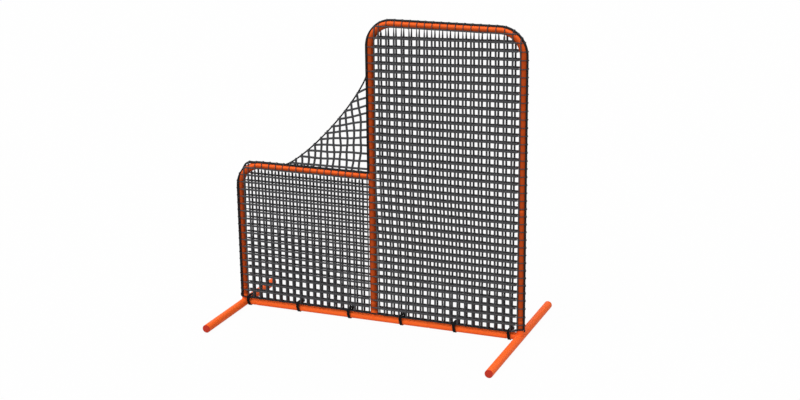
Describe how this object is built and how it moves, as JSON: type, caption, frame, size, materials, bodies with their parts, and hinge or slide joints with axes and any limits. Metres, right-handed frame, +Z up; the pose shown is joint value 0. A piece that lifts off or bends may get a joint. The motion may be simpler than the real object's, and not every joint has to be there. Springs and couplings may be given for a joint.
{
  "type": "baseball L screen",
  "caption": "Freestanding L-shaped pitching screen: an orange tube frame on two feet, sleeved in black net, with a low wing and a netted inner corner to throw over.",
  "frame": {"origin": "on the ground, midway between the ends of the feet and between the outer uprights", "axes": "+Z up; the frame stands in the XZ plane with the low wing at -X; -Y is the side of the longer front foot ends"},
  "size_m": [1.8342, 1.15, 1.8376],
  "materials": {
    "left_foot": "satin orange powder coat",
    "right_foot": "satin orange powder coat",
    "bottom_bar_left": "satin orange powder coat",
    "bottom_bar_right": "satin orange powder coat",
    "left_corner_tube": "satin orange powder coat",
    "wing_bar": "satin orange powder coat",
    "mid_lower_tube": "satin orange powder coat",
    "mid_upper_tube": "satin orange powder coat",
    "top_bar": "satin orange powder coat",
    "right_lower_tube": "satin orange powder coat",
    "right_upper_tube": "satin orange powder coat",
    "left_front_plug": "satin dark red plastic",
    "left_back_plug": "satin dark red plastic",
    "right_front_plug": "satin dark red plastic",
    "right_back_plug": "satin dark red plastic",
    "tall_net": "tarred black twine",
    "wing_net": "tarred black twine",
    "web_net": "tarred black twine",
    "web_rope": "black braided rope",
    "hem_rope_front": "black braided rope",
    "hem_rope_back": "black braided rope",
    "bungee_1_cord": "black braided elastic cord",
    "bungee_2_cord": "black braided elastic cord",
    "bungee_3_cord": "black braided elastic cord",
    "bungee_4_cord": "black braided elastic cord",
    "bungee_5_cord": "black braided elastic cord",
    "bungee_6_cord": "black braided elastic cord",
    "bungee_1_ball": "satin black plastic",
    "bungee_2_ball": "satin black plastic",
    "bungee_3_ball": "satin black plastic",
    "bungee_4_ball": "satin black plastic",
    "bungee_5_ball": "satin black plastic",
    "bungee_6_ball": "satin black plastic",
    "left_bar_spring": "spring steel strip",
    "bar_split_spring": "spring steel strip",
    "right_bar_spring": "spring steel strip",
    "left_upright_spring": "spring steel strip",
    "mid_upright_spring": "spring steel strip",
    "right_upright_spring": "spring steel strip",
    "mid_split_spring": "spring steel strip",
    "right_split_spring": "spring steel strip",
    "wing_left_spring": "spring steel strip",
    "wing_right_spring": "spring steel strip",
    "top_left_spring": "spring steel strip",
    "top_right_spring": "spring steel strip",
    "left_bar_button": "zinc-plated steel",
    "bar_split_button": "zinc-plated steel",
    "right_bar_button": "zinc-plated steel",
    "left_upright_button": "zinc-plated steel",
    "mid_upright_button": "zinc-plated steel",
    "right_upright_button": "zinc-plated steel",
    "mid_split_button": "zinc-plated steel",
    "right_split_button": "zinc-plated steel",
    "wing_left_button": "zinc-plated steel",
    "wing_right_button": "zinc-plated steel",
    "top_left_button": "zinc-plated steel",
    "top_right_button": "zinc-plated steel"
  },
  "bodies": {
    "frame": {"left_foot": "left_foot", "right_foot": "right_foot", "bottom_bar_left": "bottom_bar_left", "bottom_bar_right": "bottom_bar_right", "left_corner_tube": "left_corner_tube", "wing_bar": "wing_bar", "mid_lower_tube": "mid_lower_tube", "mid_upper_tube": "mid_upper_tube", "top_bar": "top_bar", "right_lower_tube": "right_lower_tube", "right_upper_tube": "right_upper_tube", "left_front_plug": "left_front_plug", "left_back_plug": "left_back_plug", "right_front_plug": "right_front_plug", "right_back_plug": "right_back_plug", "tall_net": "tall_net", "wing_net": "wing_net", "web_net": "web_net", "web_rope": "web_rope", "hem_rope_front": "hem_rope_front", "hem_rope_back": "hem_rope_back", "bungee_1_cord": "bungee_1_cord", "bungee_2_cord": "bungee_2_cord", "bungee_3_cord": "bungee_3_cord", "bungee_4_cord": "bungee_4_cord", "bungee_5_cord": "bungee_5_cord", "bungee_6_cord": "bungee_6_cord", "bungee_1_ball": "bungee_1_ball", "bungee_2_ball": "bungee_2_ball", "bungee_3_ball": "bungee_3_ball", "bungee_4_ball": "bungee_4_ball", "bungee_5_ball": "bungee_5_ball", "bungee_6_ball": "bungee_6_ball", "left_bar_spring": "left_bar_spring", "bar_split_spring": "bar_split_spring", "right_bar_spring": "right_bar_spring", "left_upright_spring": "left_upright_spring", "mid_upright_spring": "mid_upright_spring", "right_upright_spring": "right_upright_spring", "mid_split_spring": "mid_split_spring", "right_split_spring": "right_split_spring", "wing_left_spring": "wing_left_spring", "wing_right_spring": "wing_right_spring", "top_left_spring": "top_left_spring", "top_right_spring": "top_right_spring"},
    "left_bar_button": {"left_bar_button": "left_bar_button"},
    "bar_split_button": {"bar_split_button": "bar_split_button"},
    "right_bar_button": {"right_bar_button": "right_bar_button"},
    "left_upright_button": {"left_upright_button": "left_upright_button"},
    "mid_upright_button": {"mid_upright_button": "mid_upright_button"},
    "right_upright_button": {"right_upright_button": "right_upright_button"},
    "mid_split_button": {"mid_split_button": "mid_split_button"},
    "right_split_button": {"right_split_button": "right_split_button"},
    "wing_left_button": {"wing_left_button": "wing_left_button"},
    "wing_right_button": {"wing_right_button": "wing_right_button"},
    "top_left_button": {"top_left_button": "top_left_button"},
    "top_right_button": {"top_right_button": "top_right_button"}
  },
  "joints": [
    {"name": "left_bar_press", "type": "slide", "parent": "frame", "child": "left_bar_button", "axis": [0, -1, 0], "range_m": [0, 0.0058], "stiffness_N_per_m": 2000, "springref_m": -0.002, "deforming": ["left_bar_spring"]},
    {"name": "bar_split_press", "type": "slide", "parent": "frame", "child": "bar_split_button", "axis": [0, -1, 0], "range_m": [0, 0.0058], "stiffness_N_per_m": 2000, "springref_m": -0.002, "deforming": ["bar_split_spring"]},
    {"name": "right_bar_press", "type": "slide", "parent": "frame", "child": "right_bar_button", "axis": [0, -1, 0], "range_m": [0, 0.0058], "stiffness_N_per_m": 2000, "springref_m": -0.002, "deforming": ["right_bar_spring"]},
    {"name": "left_upright_press", "type": "slide", "parent": "frame", "child": "left_upright_button", "axis": [-1, 0, 0], "range_m": [0, 0.0058], "stiffness_N_per_m": 2000, "springref_m": -0.002, "deforming": ["left_upright_spring"]},
    {"name": "mid_upright_press", "type": "slide", "parent": "frame", "child": "mid_upright_button", "axis": [-1, 0, 0], "range_m": [0, 0.0058], "stiffness_N_per_m": 2000, "springref_m": -0.002, "deforming": ["mid_upright_spring"]},
    {"name": "right_upright_press", "type": "slide", "parent": "frame", "child": "right_upright_button", "axis": [1, 0, 0], "range_m": [0, 0.0058], "stiffness_N_per_m": 2000, "springref_m": -0.002, "deforming": ["right_upright_spring"]},
    {"name": "mid_split_press", "type": "slide", "parent": "frame", "child": "mid_split_button", "axis": [-1, 0, 0], "range_m": [0, 0.0058], "stiffness_N_per_m": 2000, "springref_m": -0.002, "deforming": ["mid_split_spring"]},
    {"name": "right_split_press", "type": "slide", "parent": "frame", "child": "right_split_button", "axis": [1, 0, 0], "range_m": [0, 0.0058], "stiffness_N_per_m": 2000, "springref_m": -0.002, "deforming": ["right_split_spring"]},
    {"name": "wing_left_press", "type": "slide", "parent": "frame", "child": "wing_left_button", "axis": [0, 0, 1], "range_m": [0, 0.0058], "stiffness_N_per_m": 2000, "springref_m": -0.002, "deforming": ["wing_left_spring"]},
    {"name": "wing_right_press", "type": "slide", "parent": "frame", "child": "wing_right_button", "axis": [0, 0, 1], "range_m": [0, 0.0058], "stiffness_N_per_m": 2000, "springref_m": -0.002, "deforming": ["wing_right_spring"]},
    {"name": "top_left_press", "type": "slide", "parent": "frame", "child": "top_left_button", "axis": [0, 0, 1], "range_m": [0, 0.0058], "stiffness_N_per_m": 2000, "springref_m": -0.002, "deforming": ["top_left_spring"]},
    {"name": "top_right_press", "type": "slide", "parent": "frame", "child": "top_right_button", "axis": [0, 0, 1], "range_m": [0, 0.0058], "stiffness_N_per_m": 2000, "springref_m": -0.002, "deforming": ["top_right_spring"]}
  ]
}
